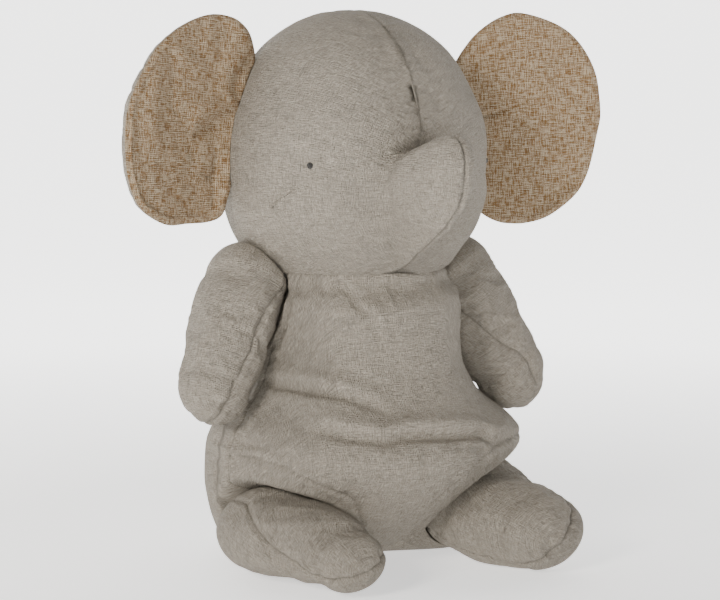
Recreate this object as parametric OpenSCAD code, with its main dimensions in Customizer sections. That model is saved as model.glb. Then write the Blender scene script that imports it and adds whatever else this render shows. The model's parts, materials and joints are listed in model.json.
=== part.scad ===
// Sitting linen elephant: sewn fabric panels over firm stuffing, jointed at the seams.
// Millimetres, +Z up, the elephant faces -Y and its left side is +X.

/* [Head] */
// width of the head from ear side to ear side
head_w = 184; // [150:1:225]
// height and depth of the head along the middle seam
head_d = 196; // [160:1:240]
// size of each knotted thread eye
eye_d = 5; // [3:0.5:9]

/* [Trunk] */
// radius of the rounded root of the trunk
trunk_root_r = 36; // [28:1:44]
// radius of the trunk's barrel
trunk_r = 25; // [18:1:30]
// reach from the root's middle to the middle of the rounded end
trunk_len = 50; // [40:1:70]
// upward tilt of the trunk
trunk_tilt = 15; // [0:1:25]

/* [Ears] */
// reach of an ear outward from the head seam
ear_w = 105; // [80:1:130]
// height of an ear
ear_h = 146; // [110:1:180]
// thickness of a padded ear
ear_t = 11; // [8:0.5:18]
// how far the ears sweep forward
ear_sweep = 17; // [5:1:30]

/* [Torso] */
// height of the torso up to the neck
torso_h = 189; // [155:1:230]
// radius of the belly
belly_r = 104; // [86:1:126]
// radius of the chest
chest_r = 69; // [58:1:82]
// radius of the narrow part between the legs
pelvis_r = 44; // [36:1:54]

/* [Arms] */
// radius of an arm at the shoulder
arm_r = 26; // [21:1:32]
// radius of an arm at the hand
hand_r = 24; // [20:1:29]
// shoulder middle to hand middle
arm_len = 66; // [55:1:80]
// forward lean of both arms
arm_forward = 14; // [0:1:25]
// how much farther the left arm leans outward than the right one
arm_extra_lean = 7; // [0:1:15]

/* [Legs] */
// radius of a leg at the hip
leg_r = 36; // [30:1:43]
// radius of a leg at the foot
foot_r = 30; // [25:1:35]
// hip middle to foot middle
leg_len = 64; // [53:1:80]
// inward turn of the right leg
right_toe_in = 9; // [0:1:15]
// outward turn of the left leg
left_toe_out = 3; // [0:1:15]

/* [Tail] */
// length of the tail
tail_len = 40; // [25:1:60]
// radius of the tail
tail_r = 5.5; // [4:0.5:9]

/* [Fabric] */
// thickness of the linen with its backing
cloth_t = 1.2; // [0.8:0.1:2]
// running gap between parts that move on each other
gap = 0.6; // [0.4:0.1:1]

/* [Hidden] */
torso_y = -10;
head_r = head_d / 2;
head_a = head_w / 2;

// neck ball sits in a dish at the top of the torso
neck_r = chest_r * 0.72;
neck_y = -4;
neck_z = torso_h + 14;
dish_drop = 5;
head_z = neck_z + head_r * 0.816;

// the trunk's root is sunk into the face
trunk_y = -head_r * 0.816;
trunk_z = head_z - head_r * 0.214;

// shoulders rest in shallow pockets at the top of the chest
shoulder_x = chest_r + arm_r - 7;
shoulder_y = -4;
shoulder_z = torso_h + 25 - arm_r;
shoulder_wad_r = arm_r * 0.54;
shoulder_gap = 3.9;

// hips sit under the belly, on each side of the pelvis
hip_x = pelvis_r + leg_r - 5;
hip_y = torso_y - leg_r - 2;
hip_z = leg_r + 2;
hip_wad_r = leg_r * 0.5;
under_z = hip_z + leg_r + 3;
leg_drop = asin((hip_z - foot_r - 1) / leg_len);

// torso outlines: heights as parts of the way from the belly's top to the shoulders,
// radii between chest and belly
belly_top = under_z + 13;
upper = [[0.0817, 0.8], [0.202, 0.543], [0.3242, 0.314], [0.475, 0.157], [0.6067, 0.057],
         [0.8664, 0]];
rim = [[chest_r - 3, torso_h - 5], [chest_r - 9, torso_h - 1.5], [neck_r, torso_h - dish_drop],
       [0, torso_h - dish_drop]];
chest_profile = concat([for (p = upper) [chest_r + p[1] * (belly_r - chest_r),
                                         belly_top + p[0] * (torso_h - belly_top)]],
                       rim);
seat_r = pelvis_r - 4;
front_profile = concat([[0, 0], [seat_r, 0], [pelvis_r, 5], [pelvis_r, under_z - 1],
                        [belly_r - 16, under_z], [belly_r - 5, under_z + 5],
                        [belly_r - 1, belly_top]], chest_profile);
back_profile = concat([[0, 0], [belly_r * 0.6, 0], [belly_r * 0.81, 8], [belly_r * 0.94, 26],
                       [belly_r, 50], [belly_r, 72], [belly_r - 1, belly_top]], chest_profile);

// arm lean: the hand just clears the side of the belly
hand_clear = 3.2;
hand_drop = arm_len * 0.94;
side_table = [for (p = chest_profile) if (p[0] > neck_r) [p[1], p[0]]];
belly_at_hand = lookup(shoulder_z - hand_drop - 0.6 * hand_r, side_table);
arm_lean = asin((belly_at_hand + hand_r + hand_clear - shoulder_x) / arm_len);

// ear hinge line: just outside the side of the head, behind its widest place
ear_z = head_z + head_r * 0.19;
ear_y = 10;
ear_x = head_a * 0.978;
ear_tilt = 4;

// tail root on the lower back
tail_z = torso_h * 0.34;
tail_y = torso_y + belly_r + tail_r * 0.85;
tail_slope = 20;

// closing seam of the upper back
stitch_count = 8;
stitch_pitch = 5;
stitch_r = 0.5;
stitch_w = 5;
stitch_z = torso_h * 0.74;

arc_steps = 7;
grey = [0.62, 0.59, 0.54];
tan_weave = [0.56, 0.47, 0.37];
wool = [0.93, 0.92, 0.88];
black = [0.05, 0.05, 0.05];

// outward normal of a profile segment, with the outline running from floor to top
function side_of(a, b) = let (d = b - a) [d[1], -d[0]] / norm(d);

// outline moved inward by t, keeping its ends on the axis
function inset(p, t) =
    [for (i = [0:len(p) - 1])
        i == 0 ? [0, p[0][1] + t]
        : i == len(p) - 1 ? [0, p[i][1] - t]
        : let (n1 = side_of(p[i - 1], p[i]), n2 = side_of(p[i], p[i + 1]), m = n1 + n2)
            p[i] - m * (2 * t / (m * m))];

// outline of a rounded limb: a ball of radius r1 at 0 and one of radius r2 at height l
function limb(r1, r2, l) =
    let (b = asin((r1 - r2) / l))
    concat(
        [[0, -r1]],
        [for (i = [1:arc_steps]) let (a = -90 + (90 + b) * i / arc_steps)
            [r1 * cos(a), r1 * sin(a)]],
        [for (i = [0:arc_steps - 1]) let (a = b + (90 - b) * i / arc_steps)
            [r2 * cos(a), l + r2 * sin(a)]],
        [[0, l + r2]]);

// quarter outline of the head: half width along the axis, head_r around it
function head_outline(t) =
    [for (i = [0:2 * arc_steps]) let (a = 90 * i / (2 * arc_steps))
        [(head_r - t) * cos(a), (head_a - t) * sin(a)]];

// outline of an ear seen from the front, side s, shrunk by t
function ear_outline(s, t) =
    [for (i = [0:35]) let (a = 10 * i, c = cos(a), d = sin(a))
        [s * (ear_w * 0.44 + (ear_w * 0.56 - t) * (1 + 0.06 * d) * sign(c) * pow(abs(c), 0.9)),
         (ear_h / 2 - t) * sign(d) * pow(abs(d), 0.9)]];

module shell(p, angle) {
    rotate_extrude(angle = angle)
        polygon(concat(p, [for (i = [len(p) - 1:-1:0]) inset(p, cloth_t)[i]]));
}

module core(p) {
    rotate_extrude() polygon(inset(p, cloth_t));
}

module ball(at, r) {
    translate(at) sphere(r = r);
}

// torso
module pockets() {
    ball([0, neck_y, neck_z], neck_r + gap);
    for (s = [-1, 1]) ball([s * shoulder_x, shoulder_y, shoulder_z], arm_r + shoulder_gap);
    ball([0, tail_y, tail_z], tail_r + gap);
}

module seat_disc(r) {
    translate([0, torso_y, 0]) cylinder(r = r, h = cloth_t);
}

module torso_front_panel() color(grey) difference() {
    translate([0, torso_y, 0]) rotate([0, 0, 180]) shell(front_profile, 180);
    pockets();
    seat_disc(seat_r);
}

module rump_wall(t) {
    for (s = [-1, 1]) translate([s < 0 ? -belly_r : pelvis_r - cloth_t, torso_y, 0])
        cube([belly_r - pelvis_r + cloth_t, t, under_z]);
}

module back_panel(turn) difference() {
    union() {
        translate([0, torso_y, 0]) rotate([0, 0, turn]) shell(back_profile, 90);
        intersection() {
            rump_wall(cloth_t);
            translate([0, torso_y, 0]) rotate([0, 0, turn])
                rotate_extrude(angle = 90) polygon(inset(back_profile, cloth_t / 2));
        }
    }
    pockets();
    seat_disc(seat_r);
}

module torso_back_left_panel() color(grey) back_panel(0);
module torso_back_right_panel() color(grey) back_panel(90);

module seat_panel() color(grey) seat_disc(seat_r);

module torso_stuffing() color(wool) difference() {
    union() {
        translate([0, torso_y, 0]) rotate([0, 0, 180])
            rotate_extrude(angle = 180) polygon(inset(front_profile, cloth_t));
        difference() {
            translate([0, torso_y, 0])
                rotate_extrude(angle = 180) polygon(inset(back_profile, cloth_t));
            rump_wall(cloth_t);
        }
    }
    pockets();
}

module closing_stitches() color(black) for (i = [0:stitch_count - 1]) {
    z = stitch_z + i * stitch_pitch;
    translate([-stitch_w / 2, torso_y + lookup(z, side_table) + 1.04 * stitch_r, z])
        rotate([0, 90, 0]) cylinder(r = stitch_r, h = stitch_w);
}

// neck
module neck_stuffing() color(wool) ball([0, neck_y, neck_z], neck_r);

// head
module head_openings() {
    ball([0, neck_y, neck_z], neck_r + gap);
    ball([0, trunk_y, trunk_z], trunk_root_r + gap);
}

module eye(s) {
    ball([s * head_a * 0.755, -head_r * 0.683, head_z - head_r * 0.066], eye_d / 2);
}

module head_panel(s) difference() {
    translate([0, 0, head_z]) rotate([0, s * 90, 0]) rotate_extrude()
        polygon(concat(head_outline(0), [for (i = [2 * arc_steps:-1:0]) head_outline(cloth_t)[i]]));
    head_openings();
    eye(s);
}

module head_left_panel() color(grey) head_panel(1);
module head_right_panel() color(grey) head_panel(-1);

module head_stuffing() color(wool) difference() {
    translate([0, 0, head_z]) union() for (s = [-1, 1]) rotate([0, s * 90, 0])
        rotate_extrude() polygon(concat([[0, 0]], head_outline(cloth_t)));
    head_openings();
    for (s = [-1, 1]) eye(s);
}

module eye_left() color(black) eye(1);
module eye_right() color(black) eye(-1);

// trunk
barrel_start = sqrt(pow(trunk_root_r, 2) - pow(trunk_r, 2));
trunk_outline = concat(
    [[0, -trunk_root_r]],
    [for (i = [1:2 * arc_steps])
        let (a = -90 + (90 + asin(barrel_start / trunk_root_r)) * i / (2 * arc_steps))
        [trunk_root_r * cos(a), trunk_root_r * sin(a)]],
    [for (i = [0:arc_steps - 1]) let (a = 90 * i / arc_steps)
        [trunk_r * cos(a), trunk_len + trunk_r * sin(a)]],
    [[0, trunk_len + trunk_r]]);

module trunk_place() {
    translate([0, trunk_y, trunk_z]) rotate([90 - trunk_tilt, 0, 0]) children();
}

module trunk_left_panel() color(grey) trunk_place() rotate([0, 0, -90]) shell(trunk_outline, 180);
module trunk_right_panel() color(grey) trunk_place() rotate([0, 0, 90]) shell(trunk_outline, 180);
module trunk_stuffing() color(wool) trunk_place() core(trunk_outline);

// ears
module ear_place(s) {
    translate([s * ear_x, ear_y, ear_z]) rotate([0, -s * ear_tilt, -s * ear_sweep]) children();
}

module ear_slab(s, inward, y0, y1) {
    translate([0, y1, 0]) rotate([90, 0, 0]) linear_extrude(height = y1 - y0)
        polygon(ear_outline(s, inward));
}

module head_clearance() {
    translate([0, 0, head_z]) for (s = [-1, 1]) rotate([0, s * 90, 0])
        rotate_extrude() polygon(concat([[0, 0]], head_outline(-2.5)));
}

// y sign -1 gives the front tray, +1 the back tray; both meet in the middle of the edge
module ear_tray(s, side) difference() {
    ear_place(s) difference() {
        ear_slab(s, 0, min(0, side * ear_t / 2), max(0, side * ear_t / 2));
        ear_slab(s, 3, min(0, side * (ear_t / 2 - cloth_t)), max(0, side * (ear_t / 2 - cloth_t)));
    }
    head_clearance();
}

module ear_pad(s) difference() {
    ear_place(s) ear_slab(s, 3, -(ear_t / 2 - cloth_t), ear_t / 2 - cloth_t);
    head_clearance();
}

module ear_left_front() color(tan_weave) ear_tray(1, -1);
module ear_left_back() color(grey) ear_tray(1, 1);
module ear_left_wadding() color(wool) ear_pad(1);
module ear_right_front() color(tan_weave) ear_tray(-1, -1);
module ear_right_back() color(grey) ear_tray(-1, 1);
module ear_right_wadding() color(wool) ear_pad(-1);

// arms: s is the side, lean the outward angle from straight down
arm_outline = limb(arm_r, hand_r, arm_len);

module arm_place(s) {
    lean = arm_lean + (s > 0 ? arm_extra_lean : 0);
    translate([s * shoulder_x, shoulder_y, shoulder_z]) rotate([0, -s * lean, 0])
        rotate([180 - arm_forward, 0, 0]) children();
}

module arm_half(s, outer) {
    arm_place(s) rotate([0, 0, -90 * s * outer]) shell(arm_outline, 180);
}

module arm_core(s) difference() {
    arm_place(s) core(arm_outline);
    ball([s * shoulder_x, shoulder_y, shoulder_z], shoulder_wad_r + gap);
}

module shoulder_left_wad() color(wool)
    ball([shoulder_x, shoulder_y, shoulder_z], shoulder_wad_r);
module shoulder_right_wad() color(wool)
    ball([-shoulder_x, shoulder_y, shoulder_z], shoulder_wad_r);
module arm_left_outer_panel() color(grey) arm_half(1, 1);
module arm_left_inner_panel() color(grey) arm_half(1, -1);
module arm_left_stuffing() color(wool) arm_core(1);
module arm_right_outer_panel() color(grey) arm_half(-1, 1);
module arm_right_inner_panel() color(grey) arm_half(-1, -1);
module arm_right_stuffing() color(wool) arm_core(-1);

// legs
leg_outline = limb(leg_r, foot_r, leg_len);

module leg_place(s) {
    translate([s * hip_x, hip_y, hip_z]) rotate([0, 0, s > 0 ? left_toe_out : right_toe_in])
        rotate([90 + leg_drop, 0, 0]) children();
}

module leg_half(s, turn) {
    leg_place(s) rotate([0, 0, turn]) shell(leg_outline, 180);
}

module leg_core(s) difference() {
    leg_place(s) core(leg_outline);
    ball([s * hip_x, hip_y, hip_z], hip_wad_r + gap);
}

module hip_left_wad() color(wool) ball([hip_x, hip_y, hip_z], hip_wad_r);
module hip_right_wad() color(wool) ball([-hip_x, hip_y, hip_z], hip_wad_r);
module leg_left_top_panel() color(grey) leg_half(1, 0);
module leg_left_bottom_panel() color(grey) leg_half(1, 180);
module leg_left_stuffing() color(wool) leg_core(1);
module leg_right_top_panel() color(grey) leg_half(-1, 0);
module leg_right_bottom_panel() color(grey) leg_half(-1, 180);
module leg_right_stuffing() color(wool) leg_core(-1);

// tail
module tail() color(grey) translate([0, tail_y, tail_z]) rotate([180 + tail_slope, 0, 0])
    rotate_extrude() polygon(limb(tail_r, tail_r * 0.8, tail_len));

torso_front_panel();
torso_back_left_panel();
torso_back_right_panel();
seat_panel();
torso_stuffing();
closing_stitches();
neck_stuffing();
head_left_panel();
head_right_panel();
head_stuffing();
eye_left();
eye_right();
trunk_left_panel();
trunk_right_panel();
trunk_stuffing();
ear_left_front();
ear_left_back();
ear_left_wadding();
ear_right_front();
ear_right_back();
ear_right_wadding();
shoulder_left_wad();
shoulder_right_wad();
arm_left_outer_panel();
arm_left_inner_panel();
arm_left_stuffing();
arm_right_outer_panel();
arm_right_inner_panel();
arm_right_stuffing();
hip_left_wad();
hip_right_wad();
leg_left_top_panel();
leg_left_bottom_panel();
leg_left_stuffing();
leg_right_top_panel();
leg_right_bottom_panel();
leg_right_stuffing();
tail();
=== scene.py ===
import json
import math

import bmesh
import bpy
import numpy as np
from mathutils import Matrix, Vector


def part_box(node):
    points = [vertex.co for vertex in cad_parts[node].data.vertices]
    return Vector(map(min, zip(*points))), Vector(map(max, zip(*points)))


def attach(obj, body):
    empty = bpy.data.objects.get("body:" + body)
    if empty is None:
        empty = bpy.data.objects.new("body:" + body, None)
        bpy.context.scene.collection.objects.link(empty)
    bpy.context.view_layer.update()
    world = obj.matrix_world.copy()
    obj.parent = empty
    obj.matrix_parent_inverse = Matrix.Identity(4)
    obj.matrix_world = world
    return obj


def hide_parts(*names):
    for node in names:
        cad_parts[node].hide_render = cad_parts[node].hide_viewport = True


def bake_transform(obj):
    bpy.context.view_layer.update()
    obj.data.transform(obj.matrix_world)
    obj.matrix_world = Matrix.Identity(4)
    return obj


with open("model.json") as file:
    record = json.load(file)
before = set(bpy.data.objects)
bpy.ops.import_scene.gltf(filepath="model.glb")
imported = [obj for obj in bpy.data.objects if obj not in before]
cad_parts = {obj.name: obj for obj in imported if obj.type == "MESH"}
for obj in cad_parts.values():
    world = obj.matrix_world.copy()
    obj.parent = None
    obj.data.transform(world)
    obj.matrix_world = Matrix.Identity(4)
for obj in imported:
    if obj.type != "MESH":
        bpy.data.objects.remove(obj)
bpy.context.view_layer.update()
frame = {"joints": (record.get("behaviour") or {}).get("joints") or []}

mm = 0.001
pi = math.pi


def say(words):
    print("stage:", words, flush=True)


def place(node):
    low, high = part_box(node)
    return np.array([(low[i] + high[i]) / 2 / mm for i in range(3)])


# numbers shared by the pieces, in millimetres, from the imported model
headMid = np.array([0.0, 0.0, place("head_stuffing")[2]])
headMid[2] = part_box("head_left_panel")[1][2] / mm - 98.0  # widest one radius below its top
torsoMid = place("seat_panel")
shoulder = {1: place("shoulder_left_wad"), -1: place("shoulder_right_wad")}
hip = {1: place("hip_left_wad"), -1: place("hip_right_wad")}
jointAt = {j["name"]: np.array(j["pos_m"]) / mm for j in frame["joints"]}
jointAxis = {j["name"]: np.array(j["axis"]) for j in frame["joints"]}


# small maths
def step(t):
    t = np.clip(t, 0, 1)
    return t * t * (3 - 2 * t)


def unit(v):
    return v / np.maximum(np.linalg.norm(v, axis=-1, keepdims=True), 1e-9)


def noise(p, size, seed):
    # smooth random field: random corner values of a cubic lattice, blended inside each cell
    table = np.random.default_rng(seed).uniform(-1, 1, 4096)
    q = np.asarray(p, float) / size
    cell = np.floor(q).astype(np.int64)
    f = step(q - cell)
    total = np.zeros(q.shape[:-1])
    for dx in (0, 1):
        for dy in (0, 1):
            for dz in (0, 1):
                h = ((cell[..., 0] + dx) * 73856093 ^ (cell[..., 1] + dy) * 19349663
                     ^ (cell[..., 2] + dz) * 83492791) & 4095
                w = (f[..., 0] if dx else 1 - f[..., 0])
                w = w * (f[..., 1] if dy else 1 - f[..., 1])
                w = w * (f[..., 2] if dz else 1 - f[..., 2])
                total += w * table[h]
    return total


def pucker(along, away, size, reachOut, seed):
    # ripples across a seam: random along it, fading away from it
    p = np.stack([along, away * 0.25, np.zeros_like(along)], -1)
    return noise(p, size, seed) * np.exp(-away / reachOut)


def lumps(p, seed):
    # hand-made unevenness: three sizes of soft noise
    return (1.1 * noise(p, 62, seed) + 0.5 * noise(p, 27, seed + 1) + 0.22 * noise(p, 11, seed + 2))


def crease(p, path, width, depth, lip):
    # a fold along a path: a valley with a soft lip above it
    # distance from each point to the polyline, by projecting on each of its segments
    best = np.full(p.shape[:-1], 1e9)
    fade = np.zeros(p.shape[:-1])
    side = np.zeros(p.shape[:-1])
    path = np.array(path, float)
    cuts = np.linalg.norm(np.diff(path, axis=0), axis=1)
    run = np.concatenate([[0], np.cumsum(cuts)])
    for i in range(len(path) - 1):
        a, b = path[i], path[i + 1]
        d = b - a
        t = np.clip(((p - a) @ d) / (d @ d), 0, 1)
        off = p - (a + t[..., None] * d)
        dist = np.linalg.norm(off, axis=-1)
        near = dist < best
        s = (run[i] + t * cuts[i]) / run[-1]
        best = np.where(near, dist, best)
        fade = np.where(near, np.sin(pi * np.clip(s, 0.0, 1.0)) ** 0.6, fade)
        side = np.where(near, np.sign(off[..., -1]), side)
    valley = -depth * np.exp(-((best / width) ** 2))
    rise = lip * np.exp(-(((best - 2.4 * width) / (1.6 * width)) ** 2)) * (side > 0)
    return (valley + rise) * fade


def catmull(points, count, closed=False):
    # smooth curve through listed points, evenly spaced by length
    p = np.array(points, float)
    ext = np.vstack([p[-1], p, p[0], p[1]]) if closed else np.vstack(
        [2 * p[0] - p[1], p, 2 * p[-1] - p[-2]])
    parts = []
    t = np.linspace(0, 1, 24, endpoint=False)[:, None]
    for i in range(len(ext) - 3):
        a, b, c, d = ext[i:i + 4]
        parts.append(0.5 * (2 * b + (c - a) * t + (2 * a - 5 * b + 4 * c - d) * t ** 2
                            + (3 * b - a - 3 * c + d) * t ** 3))
    line = np.vstack(parts + ([] if closed else [p[-1:]]))
    if closed:
        line = np.vstack([line, line[:1]])
    run = np.concatenate([[0], np.cumsum(np.linalg.norm(np.diff(line, axis=0), axis=1))])
    want = np.linspace(0, run[-1], count + 1 if closed else count)
    out = np.stack([np.interp(want, run, line[:, k]) for k in range(p.shape[1])], -1)
    return out[:-1] if closed else out


def normals(g, wrap=False):
    # cross product of the grid's two directions
    if wrap:
        dv = np.roll(g, -1, 1) - np.roll(g, 1, 1)
    else:
        dv = np.gradient(g, axis=1)
    du = np.gradient(g, axis=0)
    n = unit(np.cross(du, dv))
    if wrap:
        n[:2] = unit(n[2].mean(0))
    return n


def length(g, axis):
    # running length of the grid lines along one direction
    d = np.linalg.norm(np.diff(g, axis=axis), axis=-1)
    pad = [(0, 0), (0, 0)]
    pad[axis] = (1, 0)
    return np.pad(np.cumsum(d, axis=axis), pad)


# colours and materials
def linear(text):
    out = []
    for i in (0, 2, 4):
        c = int(text[i:i + 2], 16) / 255
        out.append(c / 12.92 if c <= 0.04045 else ((c + 0.055) / 1.055) ** 2.4)
    return (*out, 1.0)


def add(tree, kind, inputs=(), **props):
    made = tree.nodes.new(kind)
    for key, value in props.items():
        setattr(made, key, value)
    for key, value in dict(inputs).items():
        if isinstance(value, bpy.types.NodeSocket):
            tree.links.new(value, made.inputs[key])
        else:
            made.inputs[key].default_value = value
    return made


def maths(tree, how, a, b=0.0, c=0.0):
    return add(tree, "ShaderNodeMath", {0: a, 1: b, 2: c}, operation=how).outputs[0]


def mixed(tree, share, a, b, how="MIX"):
    made = add(tree, "ShaderNodeMix", {0: share, 6: a, 7: b}, data_type="RGBA", blend_type=how)
    return made.outputs[2]


def clothMaterial(name, look):
    # woven cloth: threads from the panel's own flat coordinates in millimetres
    material = bpy.data.materials.new(name)
    material.use_nodes = True
    tree = material.node_tree
    tree.nodes.clear()
    uv = add(tree, "ShaderNodeUVMap", uv_map="cut").outputs[0]
    wander = add(tree, "ShaderNodeTexNoise", {"Vector": uv, "Scale": 1 / look["wanderSize"],
                                              "Detail": 2.0}).outputs["Color"]
    shift = add(tree, "ShaderNodeVectorMath", {0: wander, 1: (0.5, 0.5, 0.5)},
                operation="SUBTRACT").outputs[0]
    shift = add(tree, "ShaderNodeVectorMath", {0: shift, 3: look["wander"]},
                operation="SCALE").outputs[0]
    at = add(tree, "ShaderNodeVectorMath", {0: uv, 1: shift}, operation="ADD").outputs[0]
    parts = add(tree, "ShaderNodeSeparateXYZ", {0: at})
    turn = 2 * pi / look["pitch"]
    warp = maths(tree, "SINE", maths(tree, "MULTIPLY", parts.outputs[0], turn / 2))
    weft = maths(tree, "SINE", maths(tree, "MULTIPLY", parts.outputs[1], turn / 2))
    over = maths(tree, "MULTIPLY", warp, weft)
    weave = maths(tree, "ABSOLUTE", over)
    weave = maths(tree, "POWER", weave, 0.6)

    def streaks(along, across, detail, seed):
        placed = add(tree, "ShaderNodeMapping",
                     {"Vector": at, "Location": (seed * 7.3, seed * 3.1, 0),
                      "Scale": (1 / along, 1 / across, 1)})
        return add(tree, "ShaderNodeTexNoise", {"Vector": placed.outputs[0], "Scale": 1.0,
                                                "Detail": detail}).outputs["Fac"]

    slubA = streaks(look["slubLong"], look["slubWide"], 2.0, 1)
    slubB = streaks(look["slubWide"], look["slubLong"], 2.0, 2)
    fineA = streaks(look["fineLong"], look["fineWide"], 2.0, 3)
    fineB = streaks(look["fineWide"], look["fineLong"], 2.0, 4)

    def ramp(value, low, high):
        return add(tree, "ShaderNodeMapRange", {0: value, 1: low, 2: high, 3: 0.0, 4: 1.0}
                   ).outputs[0]

    slubs = maths(tree, "ADD", ramp(slubA, look["slubFrom"], look["slubTo"]),
                  ramp(slubB, look["slubFrom"] + 0.02, look["slubTo"] + 0.02))
    fine = maths(tree, "ADD", fineA, fineB)
    fine = maths(tree, "SUBTRACT", fine, 1.0)
    where = add(tree, "ShaderNodeTexCoord").outputs["Object"]
    cloud = add(tree, "ShaderNodeTexNoise", {"Vector": where, "Scale": 1 / 0.035, "Detail": 4.0,
                                             "Roughness": 0.6}).outputs["Fac"]
    fleck = add(tree, "ShaderNodeTexNoise", {"Vector": uv, "Scale": 1 / look["fleckSize"],
                                             "Detail": 1.0}).outputs["Fac"]
    share = ramp(maths(tree, "ADD", maths(tree, "MULTIPLY", fine, look["fineTint"]), fleck),
                 0.5 - look["spread"], 0.5 + look["spread"])
    colour = mixed(tree, share, linear(look["dark"]), linear(look["light"]))
    tone = maths(tree, "ADD", maths(tree, "MULTIPLY", cloud, look["cloud"]),
                 1 - look["cloud"] / 2)
    tone = maths(tree, "ADD", tone, maths(tree, "MULTIPLY", slubs, look["slubTint"]))
    tone = maths(tree, "MULTIPLY", tone,
                 maths(tree, "ADD", maths(tree, "MULTIPLY", weave, look["gapDark"]),
                       1 - look["gapDark"]))
    # painted shade: the colour is darkened along each seam, where shade falls in the sewn groove
    # between the panels
    seam = add(tree, "ShaderNodeAttribute", attribute_name="seam").outputs["Fac"]
    tone = maths(tree, "MULTIPLY", tone,
                 maths(tree, "SUBTRACT", 1.0, maths(tree, "MULTIPLY", seam, look["paintedSeamShade"])))
    grey = add(tree, "ShaderNodeCombineColor", {0: tone, 1: tone, 2: tone}).outputs[0]
    colour = mixed(tree, 1.0, colour, grey, "MULTIPLY")
    high = maths(tree, "ADD", maths(tree, "MULTIPLY", weave, look["weaveHigh"]),
                 maths(tree, "MULTIPLY", fine, look["fineHigh"]))
    high = maths(tree, "ADD", high, maths(tree, "MULTIPLY", slubs, look["slubHigh"]))
    bump = add(tree, "ShaderNodeBump", {"Strength": look["bump"], "Distance": 0.001,
                                        "Height": high}).outputs[0]
    shader = add(tree, "ShaderNodeBsdfPrincipled",
                 {"Base Color": colour, "Roughness": 0.95, "Normal": bump,
                  "Sheen Weight": look["sheen"], "Sheen Roughness": 0.6,
                  "Specular IOR Level": 0.12})
    out = add(tree, "ShaderNodeOutputMaterial")
    tree.links.new(shader.outputs[0], out.inputs[0])
    return material


# washed linen, plain woven and slubby: pale thick threads stand out of a dull matt grey.
# its threads are finer than can show, so the weave is drawn coarser, every 0.95 mm
# its seam darkening is painted shade, for the shade in each sewn groove
linenLook = {"pitch": 0.95, "wander": 0.9, "wanderSize": 13.0, "slubLong": 15.0, "slubWide": 0.6,
             "fineLong": 5.5, "fineWide": 0.62, "fleckSize": 1.1, "spread": 0.42, "fineTint": 1.2,
             "dark": "877f73", "light": "b5ada0", "cloud": 0.1, "slubTint": 0.26,
             "slubFrom": 0.61, "slubTo": 0.72, "gapDark": 0.16, "paintedSeamShade": 0.35,
             "weaveHigh": 0.4, "fineHigh": 2.2, "slubHigh": 1.6, "bump": 1.0, "sheen": 0.06}
# hopsack of brown and undyed yarns: a grainy two-colour check with no shine,
# drawn every 1.3 mm, a little coarser than the yarn, so that it shows
# its seam darkening is painted shade, for the shade in each sewn groove
earLook = {"pitch": 1.3, "wander": 0.5, "wanderSize": 14.0, "slubLong": 12.0, "slubWide": 0.8,
           "fineLong": 7.0, "fineWide": 0.8, "fleckSize": 0.9, "spread": 0.3, "fineTint": 1.9,
           "dark": "7b5c3a", "light": "b7a68c", "cloud": 0.14, "slubTint": 0.12,
           "slubFrom": 0.60, "slubTo": 0.74, "gapDark": 0.42, "paintedSeamShade": 0.4,
           "weaveHigh": 0.7, "fineHigh": 1.0, "slubHigh": 0.6, "bump": 0.8, "sheen": 0.05}
linen = clothMaterial("linen", linenLook)
earWeave = clothMaterial("earWeave", earLook)


def threadMaterial(name, hexText):
    material = bpy.data.materials.new(name)
    material.use_nodes = True
    tree = material.node_tree
    tree.nodes.clear()
    where = add(tree, "ShaderNodeTexCoord").outputs["Object"]
    fuzz = add(tree, "ShaderNodeTexNoise", {"Vector": where, "Scale": 5000.0}).outputs["Fac"]
    bump = add(tree, "ShaderNodeBump", {"Strength": 0.4, "Distance": 0.0002, "Height": fuzz}
               ).outputs[0]
    shader = add(tree, "ShaderNodeBsdfPrincipled",
                 {"Base Color": linear(hexText), "Roughness": 0.7, "Normal": bump,
                  "Sheen Weight": 0.2})
    out = add(tree, "ShaderNodeOutputMaterial")
    tree.links.new(shader.outputs[0], out.inputs[0])
    return material


# twisted cotton thread: almost black in the eyes, grey in the closing stitches
thread = threadMaterial("thread", "1b1917")
paleThread = threadMaterial("paleThread", "77706a")


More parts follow.
